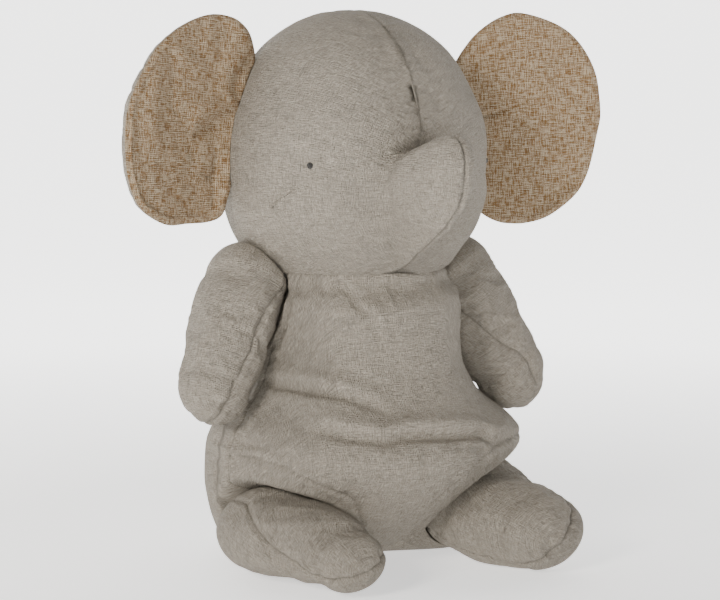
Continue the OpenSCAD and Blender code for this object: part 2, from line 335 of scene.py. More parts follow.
# mesh making
def makeMesh(name, grid, cut, seam, material, wrap=False, flip=False):
    # grid: rows x columns of points in mm; cut: flat cloth coordinates in mm; seam: 0 to 1, how
    # much painted shade darkens the colour in a seam's groove
    n, m = grid.shape[:2]
    rows, cols = np.arange(n - 1), np.arange(m if wrap else m - 1)
    r, c = np.meshgrid(rows, cols, indexing="ij")
    d = (c + 1) % m
    faces = np.stack([r * m + c, r * m + d, (r + 1) * m + d, (r + 1) * m + c], -1).reshape(-1, 4)
    corner = np.stack([np.stack([r, c], -1), np.stack([r, c + 1], -1),
                       np.stack([r + 1, c + 1], -1), np.stack([r + 1, c], -1)], -2)
    corner = corner.reshape(-1, 4, 2)
    if flip:
        faces, corner = faces[:, ::-1], corner[:, ::-1]
    if wrap:
        cut = np.concatenate([cut, cut[:, :1]], 1)
    mesh = bpy.data.meshes.new(name)
    mesh.from_pydata((grid.reshape(-1, 3) * mm).tolist(), [], faces.tolist())
    layer = mesh.uv_layers.new(name="cut")
    flat = cut[corner[..., 0], corner[..., 1]].reshape(-1, 2)
    layer.data.foreach_set("uv", flat.astype(np.float32).ravel())
    # the seam attribute carries the painted seam shade to the cloth materials
    mark = mesh.attributes.new("seam", "FLOAT", "POINT")
    mark.data.foreach_set("value", seam.astype(np.float32).ravel())
    mesh.materials.append(material)
    mesh.polygons.foreach_set("use_smooth", np.ones(len(faces), bool))
    mesh.validate()
    piece = bpy.data.objects.new(name, mesh)
    bpy.context.scene.collection.objects.link(piece)
    return piece


def finishPiece(piece, body, nodes, bend=None):
    if bend is None:
        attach(piece, body)
    else:
        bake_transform(piece)
    if nodes:
        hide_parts(*nodes)


def groove(dist, depth=1.7, width=1.5):
    # stitched seam: a narrow valley with a slight roll beside it
    return -depth * np.exp(-((dist / width) ** 2)) + 0.45 * np.exp(-(((dist - 4.2) / 2.2) ** 2))


def limbFrame(direction, up):
    d = unit(np.array(direction, float))
    right = unit(np.cross(d, up))
    return d, right, np.cross(right, d)


# cloth settling: a coarse copy is blown up with its seams held, and its creases kept
settleLook = {"frames": 14, "pressure": 3.0, "slack": -0.028, "tension": 18.0, "bend": 0.35,
              "most": 2.6, "seed": 3}


def pick(count, want):
    return np.unique(np.round(np.linspace(0, count - 1, min(want, count))).astype(int))


def spread(values, rows, cols, n, m):
    # fills a fine grid from a coarse one, by straight-line blending along each direction
    tall = np.stack([[np.interp(np.arange(n), rows, values[:, j, k]) for j in range(len(cols))]
                     for k in range(3)], -1)
    wide = np.stack([[np.interp(np.arange(m), cols, tall[:, i, k]) for i in range(n)]
                     for k in range(3)], -1)
    return wide


def blur(v, times):
    for _ in range(times):
        v = v.copy()
        v[1:-1] = (v[:-2] + 2 * v[1:-1] + v[2:]) / 4
        v[:, 1:-1] = (v[:, :-2] + 2 * v[:, 1:-1] + v[:, 2:]) / 4
    return v


def settle(name, grids, wraps, holds, want, share=1.0):
    # grids: the panels of one closed piece; holds: 1 where the cloth is sewn, 0 where it is free
    points, faces, keep, samples, at = [], [], [], [], 0
    for g, wrap, hold in zip(grids, wraps, holds):
        n, m = g.shape[:2]
        if wrap:
            g, hold = (np.concatenate([v, v[:, :1]], 1) for v in (g, hold))
            m += 1
        rows, cols = pick(n, want[0]), pick(m, want[1])
        points.append(g[np.ix_(rows, cols)].reshape(-1, 3))
        keep.append(hold[np.ix_(rows, cols)].ravel())
        r, c = np.meshgrid(np.arange(len(rows) - 1), np.arange(len(cols) - 1), indexing="ij")
        k = len(cols)
        faces.append(at + np.stack([r * k + c, r * k + c + 1, (r + 1) * k + c + 1,
                                    (r + 1) * k + c], -1).reshape(-1, 4))
        samples.append((rows, cols, n, m, at))
        at += len(rows) * k
    allPoints, allKeep = np.concatenate(points), np.concatenate(keep)
    _, first, back = np.unique(np.round(allPoints / 0.05).astype(int), axis=0, return_index=True,
                               return_inverse=True)
    back = back.reshape(-1)
    joined = back[np.concatenate(faces)]
    held = np.zeros(len(first))
    np.maximum.at(held, back, allKeep)
    clean = []
    for quad in joined.tolist():
        corner = list(dict.fromkeys(quad))
        if len(corner) > 2:
            clean.append(corner)
    mesh = bpy.data.meshes.new(name + "Cloth")
    mesh.from_pydata((allPoints[first] * mm).tolist(), [], clean)
    work = bmesh.new()
    work.from_mesh(mesh)
    bmesh.ops.recalc_face_normals(work, faces=work.faces)
    work.to_mesh(mesh)
    work.free()
    facing = np.empty(len(first) * 3)
    mesh.vertices.foreach_get("normal", facing)
    facing = facing.reshape(-1, 3)
    copy = bpy.data.objects.new(name + "Cloth", mesh)
    bpy.context.scene.collection.objects.link(copy)
    group = copy.vertex_groups.new(name="held")
    for level in (0.25, 0.5, 0.75, 1.0):
        chosen = np.where(np.abs(held - level) < 0.125)[0]
        if len(chosen):
            group.add(chosen.tolist(), level, "REPLACE")
    cloth = copy.modifiers.new("cloth", "CLOTH")
    c = cloth.settings
    c.quality, c.mass, c.air_damping = 4, 0.3, 1.5
    c.tension_stiffness = c.compression_stiffness = settleLook["tension"]
    c.shear_stiffness, c.bending_stiffness = 6.0, settleLook["bend"]
    c.use_pressure, c.uniform_pressure_force = True, settleLook["pressure"]
    c.shrink_min = c.shrink_max = settleLook["slack"]
    c.effector_weights.gravity = 0
    c.vertex_group_mass = "held"
    c.pin_stiffness = 1.0
    cloth.collision_settings.use_collision = False
    cloth.collision_settings.use_self_collision = False
    cloth.point_cache.frame_start, cloth.point_cache.frame_end = 1, settleLook["frames"]
    for frameNow in range(1, settleLook["frames"] + 1):
        bpy.context.scene.frame_set(frameNow)
    final = copy.evaluated_get(bpy.context.evaluated_depsgraph_get()).to_mesh()
    out = np.empty(len(first) * 3)
    final.vertices.foreach_get("co", out)
    moved = out.reshape(-1, 3) / mm - allPoints[first]
    bpy.context.scene.frame_set(1)
    bpy.data.objects.remove(copy)
    size = np.linalg.norm(moved, axis=1, keepdims=True)
    most = settleLook["most"]
    print("   ", name, "cloth moved", round(float(size.mean()), 2), "at most",
          round(float(size.max()), 2), flush=True)
    moved = moved * (share * most * np.tanh(size / most) / np.maximum(size, 1e-6))
    # the mean swelling is taken back out, so that the piece keeps its size
    free = 1 - np.clip(held, 0, 1)
    swell = float(np.sum(np.sum(moved * facing, 1) * free) / max(free.sum(), 1))
    moved = (moved - 0.8 * swell * facing * free[:, None])[back]
    result = []
    for (rows, cols, n, m, begin), g, wrap in zip(samples, grids, wraps):
        block = moved[begin:begin + len(rows) * len(cols)].reshape(len(rows), len(cols), 3)
        full = spread(block, rows, cols, n, m)
        result.append(full[:, :-1] if wrap else full)
    return result


# head and trunk
head = {"halfWide": 92.0, "deep": 98.0, "high": 97.0, "low": 104.5, "power": 2.5,
        "star": (40.0, -35.0), "around": 420, "rings": 92}
trunkLine = [(66, -80), (84, -71), (104, -60), (118, -52), (130, -45), (141, -36), (148, -28),
             (152, -17), (153.5, -2), (150, 7), (144, 12), (136, 13.5), (126, 12), (112, 8),
             (100, 3.5), (95, 2.5)]


def headRoom(b, more=0.0):
    # share of the full half depth left at height b above the middle
    up = 1 - (b / (head["high"] + more)) ** 2 - 0.045 * np.exp(-(((b - 42) / 20) ** 2))
    down = 1 - (np.abs(b) / (head["low"] + more)) ** head["power"]
    return np.where(b >= 0, up, down)


def inHead(p, more):
    a, b = -p[..., 1], p[..., 2] - headMid[2]
    wide, deep = head["halfWide"] + more, head["deep"] + more
    return (p[..., 0] / wide) ** 2 + (a / deep) ** 2 < headRoom(b, more)


def headOutline():
    # forehead, crown and nape from the head's own formula, then the trunk's outline
    t = np.radians(np.linspace(3, 180, 80))
    upper = np.stack([head["deep"] * np.cos(t), head["high"] * np.sin(t)], -1)
    upper[:, 0] -= 4.5 * np.exp(-((upper[:, 1] - 2) / 8) ** 2) * (upper[:, 0] > 0)
    b = head["low"] * -np.sin(np.linspace(0, pi / 2, 50))[1:]
    lower = np.stack([-head["deep"] * np.sqrt(np.maximum(headRoom(b), 0)), b], -1)
    front = lower[::-1] * [-1, 1]
    front = front[front[:, 1] < -81]
    line = np.vstack([upper, lower, front[1:], catmull(trunkLine, 90)])
    run = np.concatenate([[0], np.cumsum(np.linalg.norm(np.diff(line, axis=0), axis=1))])
    want = np.linspace(0, run[-1], head["around"])
    return np.stack([np.interp(want, run, line[:, k]) for k in range(2)], -1)


def headGrid(side):
    # a height field over the side view: half width X above each point (forward a, up b)
    outline = headOutline()
    star = np.array(head["star"])
    # rings crowd towards the seam, where the surface turns in steeply
    rho = np.sin(np.linspace(0, 1, head["rings"]) * pi / 2) ** 0.9
    flat = star + rho[:, None, None] * (outline - star)[None]
    a, b = flat[..., 0], flat[..., 1]
    span = np.linalg.norm(outline - star, axis=1)[None]
    angle = np.degrees(np.arctan2(outline[:, 1] - star[1], outline[:, 0] - star[0]))[None]
    r = np.broadcast_to(rho[:, None], a.shape)
    skull = head["halfWide"] * np.sqrt(np.maximum(headRoom(b) - (a / head["deep"]) ** 2, 0))
    # the trunk is a soft wedge: thin at its seam and wider towards the face
    gate = step((angle + 80) / 30) * step((39 - angle) / 7)
    deep = (1 - r) * span * 0.9
    edge = 4.5 + 3.5 * step((angle - 2) / 14) + 3 * step((-14 - angle) / 24)
    wedge = edge * (1 - np.exp(-deep / 1.6)) + 26 * (1 - np.exp(-deep / 44))
    nose = gate * np.minimum(wedge, 30)
    soft = 12 * np.minimum(deep / 14, 1) * gate
    x = 0.5 * (skull + nose + np.sqrt((skull - nose) ** 2 + soft ** 2))
    x[-1] = 0
    # cheek hollow where the trunk meets the face
    x = x - 1.2 * np.exp(-(((a - 90) / 13) ** 2 + ((b + 14) / 26) ** 2)) * np.minimum(deep / 20, 1)
    return np.stack([side * x, -a, headMid[2] + b], -1), outline, angle, r


eyeBack = {1: 21.0, -1: 0.0}  # one eye is sewn a little further back


def eyePlace(side):
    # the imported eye, moved along the cheek and onto its surface
    at = place("eye_left" if side > 0 else "eye_right")
    a, b = -at[1] - eyeBack[side], at[2] - headMid[2]
    x = head["halfWide"] * math.sqrt(float(headRoom(np.array(b))) - (a / head["deep"]) ** 2)
    return np.array([side * x, -a, at[2]])


def headPanel(side):
    g, outline, angle, r = headGrid(side)
    n = normals(g, wrap=True)
    out = np.sign(np.sum(n[5:-5] * unit(g[5:-5] - headMid), axis=-1)).mean()
    n = n * out
    runIn = length(g, 0)
    dist = runIn[-1:] - runIn
    edge = np.linalg.norm(np.diff(np.vstack([outline, outline[:1]]), axis=0), axis=1)
    along = np.concatenate([[0], np.cumsum(edge)[:-1]])[None] + 0 * dist
    joined = step(dist / 3)
    puck = pucker(along, dist, 7.0, 9.0, 11)
    strong = 0.2 + 1.1 * step((angle + 66) / 20) * step((22 - angle) / 10)
    fold = np.zeros_like(dist)
    # soft wrinkles that run out from the notch over the cheek, and along the trunk's underside
    p2 = np.stack([-g[..., 1], g[..., 2] - headMid[2]], -1)
    for path, wide, deep, lip in (
            ([(92, -6), (84, -12), (72, -26), (66, -46)], 6.5, 0.6, 0.5),
            ([(96, -10), (94, -22), (90, -38), (82, -58)], 5.5, 0.8, 0.4),
            ([(146, -22), (128, -33), (108, -46), (90, -60)], 3.5, 1.3, 0.8),
            ([(138, -36), (120, -46), (100, -58)], 2.4, 0.9, 0.5),
            ([(149, -6), (136, -14), (122, -18)], 3.5, 0.8, 0.5)):
        fold += crease(p2, path, wide, deep, lip)
    low = step((g[..., 2] - headMid[2] + 84) / 14)
    move = (lumps(g, 5) * low + fold * joined + strong * puck) * (0.3 + 0.7 * joined)
    move = move + groove(dist, 0.7 + 0.7 * step((angle + 75) / 20) * step((36 - angle) / 6), 1.1)
    n[..., 0] *= joined
    near = np.linalg.norm(g - eyePlace(side), axis=-1)
    move = move - 1.7 * np.exp(-((near / 6.5) ** 2))
    g = g + n * move[..., None]
    g[-1, :, 0] = 0
    return {"g": g, "dist": dist, "runIn": runIn, "angle": angle, "out": out, "low": low}


pair = {side: headPanel(side) for side in (1, -1)}
hold = {side: np.clip(1.1 - pair[side]["dist"] / 9, 0, 1) for side in (1, -1)}
for side in (1, -1):
    near = np.linalg.norm(pair[side]["g"] - eyePlace(side), axis=-1)
    hold[side] = np.maximum(np.maximum(hold[side], 1.0 * (near < 9)), 1 - pair[side]["low"])
shift = settle("head", [pair[1]["g"], pair[-1]["g"]], [True, True], [hold[1], hold[-1]],
               (34, 120), 0.8)
for (side, word), add3 in zip(((1, "left"), (-1, "right")), shift):
    p = pair[side]
    g = p["g"] + add3
    ray = np.radians(np.broadcast_to(p["angle"], p["dist"].shape))
    cut = np.stack([p["runIn"] * np.cos(ray) * side, p["runIn"] * np.sin(ray)], -1)
    # painted shade along the seam, in the groove where the two panels meet
    piece = makeMesh(f"head{word.title()}", g, cut, np.exp(-((p["dist"] / 0.8) ** 2)), linen,
                     wrap=True, flip=(side * p["out"] > 0))
    at = jointAt["trunk_lift"]
    nodes = [f"head_{word}_panel", f"trunk_{word}_panel",
             "head_stuffing" if side > 0 else "trunk_stuffing"]
    finishPiece(piece, "head", nodes,
                ("head", "trunk", at + np.array([0, 4, 0]), at - np.array([0, 42, 0])))
say("head")


# limbs: soft tubes of two panels, set out by sections along a line
def soften(x, at, values):
    curve = catmull(list(zip(at, values)), 90)
    return np.interp(x, curve[:, 0], curve[:, 1])


def limbEnd(node, start, r1, r2):
    # far end of a tapered limb, from its solid's box: the side that reaches past the root ball
    low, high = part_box(node)
    low, high = np.array(low) / mm, np.array(high) / mm
    return np.where(high - start > start - low, high - r2, low + r2)


def sectionOf(limb, s):
    c = np.clip(s, limb["at"][0], limb["at"][-1])
    wide, tall = soften(c, limb["at"], limb["wide"]), soften(c, limb["at"], limb["tall"])
    out, lift = soften(c, limb["at"], limb["out"]), soften(c, limb["at"], limb["lift"])
    return wide, tall, out * limb["sense"], lift


def inLimb(p, limb, room):
    d, right, up = limb["axes"]
    q = p - limb["base"]
    s = q @ d
    wide, tall, out, lift = sectionOf(limb, s)
    past = np.where(s < limb["at"][0], (limb["at"][0] - s) / (limb["caps"][0] + room),
                    np.maximum(s - limb["at"][-1], 0) / (limb["caps"][1] + room))
    x, y = (q @ right - out) / (wide + room), (q @ up - lift) / (tall + room)
    return x ** 2 + y ** 2 + past ** 2 < 1


def limbPanel(limb, half, yields):
    d, right, up = limb["axes"]
    s0, s1 = limb["at"][0], limb["at"][-1]
    turn = np.linspace(0, pi / 2, 40)
    s = np.concatenate([s0 - limb["caps"][0] * np.cos(turn), np.linspace(s0, s1, 40)[1:-1],
                        s1 + limb["caps"][1] * np.sin(turn)])
    share = np.concatenate([np.sin(turn), np.ones(38), np.cos(turn)])
    wide = sectionOf(limb, s)[0] * share
    run = np.concatenate([[0], np.cumsum(np.hypot(np.diff(s), np.diff(wide)))])
    want = np.linspace(0, run[-1], limb["rows"])
    s, share, run = np.interp(want, run, s), np.interp(want, run, share), want
    wide, tall, out, lift = (v[:, None] for v in sectionOf(limb, s))
    # columns crowd towards the two seams
    t = np.linspace(-1, 1, limb["cols"])
    t = np.sin(t * pi / 2) * 0.35 + t * 0.65
    twist = np.radians(soften(np.clip(s, s0, s1), limb["at"], limb["seam"]))[:, None]
    phi = twist + half * pi + ((t + 1) / 2 * pi)[None]
    x, y = wide * np.cos(phi), tall * np.sin(phi)
    middle = (limb["base"] + d * np.clip(s, s0, s1)[:, None, None] + right * out[..., None]
              + up * lift[..., None])
    arm = (share[:, None, None] * (right * x[..., None] + up * y[..., None])
           + d * (s - np.clip(s, s0, s1))[:, None, None])
    # the limb gives way where it is pressed by its neighbours
    k = np.ones(phi.shape)
    for test in np.linspace(0.3, 1, 36)[::-1]:
        k = np.where(yields(middle + arm * test), test - 0.02, k)
    for _ in range(6):
        k = np.minimum(blur(k, 1), k)
    g = middle + arm * k[..., None]
    n = normals(g)
    sense = np.sign(np.sum(n[8:-8] * unit(arm)[8:-8], axis=-1)).mean()
    n = n * sense
    n[0], n[-1] = -d, d
    radius = (wide + tall) / 2 * share[:, None]
    dist = (1 - np.abs(t))[None] * pi / 2 * radius
    along = run[:, None] + ((t > 0)[None] ^ bool(half)) * 300 + 0 * dist
    strong = 0.35 + 0.7 * limb["pucker"] * step((s[:, None] - s1 * 0.55) / 25)
    move = 0.8 * lumps(g, limb["seed"]) + strong * pucker(along, dist, 6.0, 8.0, limb["seed"] + 5)
    for path, width, depth, lip in limb["folds"]:
        move += crease(g, path, width, depth, lip)
    move += groove(dist, 0.8, 1.1) - 0.5 * np.exp(-((dist / 9) ** 2))
    ends = np.minimum(step(share / 0.25), 1)[:, None]
    g = g + n * (move * ends)[..., None]
    g[0], g[-1] = g[0].mean(0), g[-1].mean(0)
    # it rests on the ground
    g[..., 2] = np.where(g[..., 2] < 3, 0.4 + 2.6 * np.exp((g[..., 2] - 3) / 2.6), g[..., 2])
    cut = np.stack([(t[None] * pi / 2) * radius, run[:, None] + 0 * dist], -1)
    return {"g": g, "dist": dist, "cut": cut, "sense": sense, "pressed": k < 0.97}


def makeLimb(limb, names, nodes, bend):
    parts = [limbPanel(limb, half, limb["yields"]) for half in (0, 1)]
    ends = [p["g"][[0, -1]][:, 0] for p in parts]
    for p in parts:
        p["g"][0], p["g"][-1] = ends[0]
    hold = [np.maximum(np.clip(1 - p["dist"] / 6, 0, 1), 1.0 * p["pressed"]) for p in parts]
    shift = settle(names[0], [p["g"] for p in parts], [False, False], hold, (40, 30))
    for p, move, name, node in zip(parts, shift, names, nodes):
        g = p["g"] + move
        g[..., 2] = np.maximum(g[..., 2], 0.3)
        # painted shade along the seams, in the groove where the two panels meet
        piece = makeMesh(name, g, p["cut"], np.exp(-((p["dist"] / 0.8) ** 2)), linen,
                         flip=(p["sense"] > 0))
        finishPiece(piece, None, node, bend)


torsoSides = {"front": [(30, 12), (40, 16), (52, 23), (66, 34), (79, 46), (91, 58), (101, 71),
                        (105.5, 84)],
              "back": [(46, 0.5), (66, 1), (82, 5), (95, 15), (102, 28), (106, 44), (107, 64),
                       (105.5, 84)],
              "top": [(105.5, 84), (100, 97), (92, 109), (83.5, 121), (77, 135), (73, 150),
                      (71, 165), (70, 180), (68.5, 192), (66.5, 203)]}


def torsoLines(which, lowRows=64, topRows=92):
    lower, upper = catmull(torsoSides[which], lowRows), catmull(torsoSides["top"], topRows)
    return np.vstack([lower, upper[1:]])


def inTorso(p, more):
    line = torsoLines("back")
    z = p[..., 2]
    wide = np.interp(z, line[:, 1], line[:, 0]) + more
    out = np.hypot(p[..., 0], p[..., 1] - torsoMid[1])
    return (out < wide) & (z < 203) & (z > 0)


limbs = {}
armShape = {"at": [-9, 8, 28, 48, 66], "wide": [28, 29, 28.5, 27, 24.5],
            "tall": [27, 28.5, 28.5, 27, 24],
            "out": [-3, -1, 0, 0, 0], "lift": [0, 0, 0, 0, 0], "caps": (28, 26), "rows": 110,
            "cols": 70, "pucker": 1.5}
armFolds = {-1: [([(-84, -34, 196), (-96, -33, 200), (-106, -20, 204)], 4.0, 1.3, 0.6),
                 ([(-100, -46, 122), (-112, -46, 118), (-122, -36, 118)], 3.0, 1.0, 0.5),
                 ([(-84, -32, 182), (-90, -38, 168), (-88, -40, 150)], 4.0, 1.2, 0.6)],
            1: [([(86, -34, 200), (96, -33, 193), (108, -24, 190)], 4.0, 1.2, 0.6),
                ([(112, -44, 128), (124, -40, 124), (134, -26, 126)], 3.0, 0.9, 0.4)]}
armOwn = {-1: {"caps": (28, 27)},
          1: {"caps": (28, 34), "wide": [29, 30, 32, 31, 27], "out": [-3, -4, -7, -9, -9]}}
armSeam = {-1: [125, 108, 101, 99, 92], 1: [30, 48, 68, 84, 106]}
for side, word in ((1, "left"), (-1, "right")):
    start = shoulder[side]
    tip = limbEnd(f"arm_{word}_stuffing", start, 24.8, 22.8)
    axes = limbFrame(tip - start, np.array([0, -1.0, 0]))
    limb = dict({**armShape, **armOwn[side]}, base=start, axes=axes, sense=-side, seed=40 + side,
                folds=armFolds[side], seam=armSeam[side],
                yields=lambda p: inHead(p, 1.6) | inTorso(p, -7.0))
    limbs[f"arm{side}"] = limb
    # half 0 runs from the front seam round one way, half 1 the other
    inner, outer = ("outer", "inner") if side < 0 else ("inner", "outer")
    makeLimb(limb, [f"arm{word.title()}{outer.title()}", f"arm{word.title()}{inner.title()}"],
             [[f"arm_{word}_{outer}_panel", f"arm_{word}_stuffing"],
              [f"arm_{word}_{inner}_panel", f"shoulder_{word}_wad"]],
             (f"shoulder_{word}", f"arm_{word}", start - axes[0] * 18, start + axes[0] * 22))
say("arms")

legShape = {-1: {"at": [-6, 12, 34, 52, 66], "wide": [39, 38, 34, 30, 26],
                 "tall": [29, 28, 26, 24, 21], "out": [6, 5, 2, 1, 1],
                 "lift": [-8, -8, -7, -6, -7], "caps": (36, 27), "rows": 120, "cols": 84,
                 "pucker": 1.1, "seam": [52, 34, 8, -6, -20]},
            1: {"at": [-6, 12, 34, 52, 66], "wide": [43, 42, 39, 37, 33],
                "tall": [34, 32, 30, 28, 26], "out": [0, -3, -5, -2, 1],
                "lift": [-2, -2, -4, -3, -3], "caps": (34, 27), "rows": 120, "cols": 84,
                "pucker": 1.4, "seam": [-30, -35, -40, -48, -52]}}
legFolds = {-1: [([(-98, -90, 55), (-85, -99, 54), (-72, -118, 48), (-62, -126, 42)],
                  2.6, 2.2, 1.6),
                 ([(-104, -74, 52), (-96, -82, 53), (-90, -90, 52)], 4.0, 2.2, 1.0),
                 ([(-102, -88, 24), (-97, -97, 18), (-92, -104, 12)], 3.4, 1.6, 0.8)],
            1: [([(63, -137, 26), (65, -137, 19), (67, -134, 12)], 2.2, 1.4, 0.7),
                ([(50, -70, 50), (42, -66, 40), (38, -60, 28)], 3.0, 1.4, 0.8),
                ([(96, -58, 60), (104, -80, 52), (108, -92, 44)], 5.0, 2.2, 0.9)]}
for side, word in ((1, "left"), (-1, "right")):
    start = hip[side]
    tip = limbEnd(f"leg_{word}_stuffing", start, 34.8, 28.8)
    axes = limbFrame(tip - start, np.array([0, 0, 1.0]))
    limb = dict(legShape[side], base=start, axes=axes, sense=-side, seed=60 + side,
                folds=legFolds[side], yields=lambda p: p[..., 2] > 400)
    limbs[f"leg{side}"] = limb
    makeLimb(limb, [f"leg{word.title()}Top", f"leg{word.title()}Bottom"],
             [[f"leg_{word}_top_panel", f"leg_{word}_stuffing"],
              [f"leg_{word}_bottom_panel", f"hip_{word}_wad"]],
             (f"hip_{word}", f"leg_{word}", start - axes[0] * 20, start + axes[0] * 26))
say("legs")


# torso
torso = {"frontCols": 190, "backCols": 120, "sideSeam": 84.0}


def torsoGrid(lo, hi, cols):
    front, back = torsoLines("front"), torsoLines("back")
    # columns crowd towards the side seams
    t = np.linspace(-1, 1, cols)
    t = np.sin(t * pi / 2) * 0.3 + t * 0.7
    theta = np.radians(lo + (t + 1) / 2 * (hi - lo))
    w = step((78 - np.abs(np.degrees(theta))) / 40)[None, :]
    r = front[:, :1] * w + back[:, :1] * (1 - w)
    z = front[:, 1:] * w + back[:, 1:] * (1 - w)
    # the top edge follows the head's own outline, where the two are sewn together
    mid = torsoMid[1] + 8 * step((z - 176) / 27)
    b = 203.0 - headMid[2]
    wide, deep = (head[k] ** 2 * float(headRoom(np.array(b))) for k in ("halfWide", "deep"))
    s, c = np.sin(theta)[None], np.cos(theta)[None]
    q2, q1, q0 = s ** 2 / wide + c ** 2 / deep, -2 * mid * c / deep, mid ** 2 / deep - 1
    ring = (-q1 + np.sqrt(q1 ** 2 - 4 * q2 * q0)) / (2 * q2)
    w = step((z - 183) / 19)
    r = r * (1 - w) + (ring + 0.4) * w
    return r, z, mid, theta, t


def pressed(r, z, mid, theta, hold=6):
    # where a limb rests against the torso, the torso gives way and the dent is smoothed
    ray = np.stack([np.sin(theta), -np.cos(theta), 0 * theta], -1)[None] + 0 * r[..., None]
    origin = np.stack([0 * z, mid + 0 * z, z], -1)
    cap = np.full(r.shape, np.inf)
    for limb in limbs.values():
        for reachOut in np.arange(120.0, 20, -1.0):
            hit = inLimb(origin + ray * reachOut, limb, 1.1)
            cap = np.where(hit, reachOut, cap)
    out = np.minimum(r, cap)
    for _ in range(hold):
        out = np.minimum(np.minimum(blur(out, 1), r), cap)
    return out, ray


torsoFolds = [  # (degrees round from the front, height), width, depth, lip
    ([(-84, 132), (-76, 129), (-58, 128), (-46, 127), (-35, 125), (-24, 120), (-14, 114)], 3.0,
     5.0, 3.2),
    ([(-46, 106), (-34, 101), (-18, 98), (-10, 100), (1, 99.5), (13, 98), (26, 95), (34, 89),
      (50, 87)], 3.0, 7.0, 4.4),
    ([(-62, 112), (-50, 103), (-36, 101), (-24, 104)], 6.0, 1.6, 0.8),
    ([(2, 95), (20, 88), (40, 84), (60, 86)], 4.0, 2.2, 0.8),
    ([(-33, 196), (-27, 182), (-19, 167), (-14, 150)], 4.5, 1.6, 0.9),
    ([(-16, 190), (-12, 176), (-10, 160), (-10, 140)], 3.0, 0.9, 0.6),
    ([(-47, 160), (-43, 142), (-39, 124)], 3.0, 0.6, 0.4),
    ([(-80, 196), (-72, 184), (-76, 166), (-80, 150)], 5.0, 1.8, 0.8),
    ([(52, 200), (54, 184), (48, 166), (56, 152)], 5.0, 1.6, 0.8),
    ([(30, 120), (44, 116), (62, 110)], 5.0, 1.2, 0.6),
    ([(150, 98), (175, 94), (205, 99)], 7.0, 2.0, 1.0),
    ([(100, 108), (120, 100), (140, 101)], 6.0, 1.8, 0.9),
    ([(-100, 108), (-122, 99), (-142, 103)], 6.0, 1.8, 0.9)]
# the sewn lines where the belly panel ends over each leg
bellySeams = [[(-86, 80), (-74, 82), (-64, 81), (-55, 77), (-46, 70), (-38, 63), (-31, 55),
               (-28, 46), (-26, 36)],
              [(84, 82), (64, 84), (44, 86), (33, 84), (27, 79), (20, 72), (12, 62), (6, 50)]]


def nearPath(p, path):
    best = np.full(p.shape[:-1], 1e9)
    for a, b in zip(path[:-1], path[1:]):
        t = np.clip(((p - a) @ (b - a)) / ((b - a) @ (b - a)), 0, 1)
        best = np.minimum(best, np.linalg.norm(p - a - t[..., None] * (b - a), axis=-1))
    return best


def torsoPanel(lo, hi, cols, seams, seed=80):
    r, z, mid, theta, t = torsoGrid(lo, hi, cols)
    r, ray = pressed(r, z, mid, theta)
    g = np.stack([ray[..., 0] * r, mid + ray[..., 1] * r, z + 0 * r], -1)
    n = normals(g)
    out = np.sign(np.sum(n[30:-30] * ray[30:-30], axis=-1)).mean()
    n = n * out
    degrees = np.degrees(theta)[None] + 0 * r
    chart = np.stack([np.radians(degrees) * 92, z + 0 * r], -1)
    fold = np.zeros_like(r)
    for path, wide, deep, lip in torsoFolds:
        flat = np.array([(math.radians(a) * 92, h) for a, h in path])
        for turn in (0, -2 * pi * 92):
            fold += crease(chart - np.array([turn, 0]), flat, wide, deep, lip)
    dist = (1 - np.abs(t))[None] * math.radians(hi - lo) / 2 * r
    run = length(g, 0)
    top = run[-1:] - run
    along = z + np.where(t > 0, seams[1], seams[0])[None] + 0 * r
    # small gathers under the neck seam and beside the side seams
    round2 = np.stack([np.sin(np.radians(degrees)) * 70, np.cos(np.radians(degrees)) * 70,
                       top * 0.2], -1)
    gather = noise(round2, 7.0, seed + 9) * np.exp(-top / 12) * 0.6
    firm = step((z - 1.5) / 12) * (1 - 0.85 * np.exp(-((top / 5) ** 2)))
    move = (lumps(g, seed) + fold) * firm + 0.6 * pucker(along, dist, 8.0, 9.0, seed + 5) * firm
    move += gather * step(top / 3) + groove(dist, 1.0, 1.1) * firm
    line = np.full(r.shape, 99.0)
    if lo < 0 < hi:
        for path in bellySeams:
            flat = catmull([(math.radians(a) * 92, h) for a, h in path], 24)
            line = np.minimum(line, nearPath(chart, flat))
        move += groove(line, 1.1, 1.2) * firm
        move += 0.5 * pucker(chart[..., 0], line, 6.0, 6.0, seed + 6) * firm
    # the belly hangs out over the left leg
    hang = np.exp(-(((chart[..., 0] - 118) / 52) ** 2 + ((chart[..., 1] - 86) / 17) ** 2))
    move = move + 9.0 * hang * firm
    g = g + n * move[..., None]
    g[..., 2] = np.maximum(g[..., 2], 0.3)
    # the neck edge rolls in under the head
    g[..., :2] -= ray[..., :2] * (1.6 * np.exp(-((top / 1.6) ** 2)))[..., None]
    # painted shade in the grooves of the side seams, the neck seam and the belly seams
    seam = np.maximum(np.exp(-((dist / 0.8) ** 2)), 0.9 * np.exp(-((top / 1.0) ** 2)))
    seam = np.maximum(seam, 0.8 * np.exp(-((line / 0.8) ** 2)))
    cut = np.stack([(theta - theta.mean())[None] * r, run], -1)
    caught = 1.0 * (blur(1.0 * (r < torsoGrid(lo, hi, cols)[0] - 1), 3) > 0.1)
    hold = np.maximum(np.clip(1 - dist / 7, 0, 1), np.maximum(np.clip(1 - top / 8, 0, 1), caught))
    hold = np.maximum(hold, 1.0 * (z + 0 * r < 16))
    return {"g": g, "cut": cut, "seam": seam, "out": out, "hold": hold, "ray": ray, "r": r}


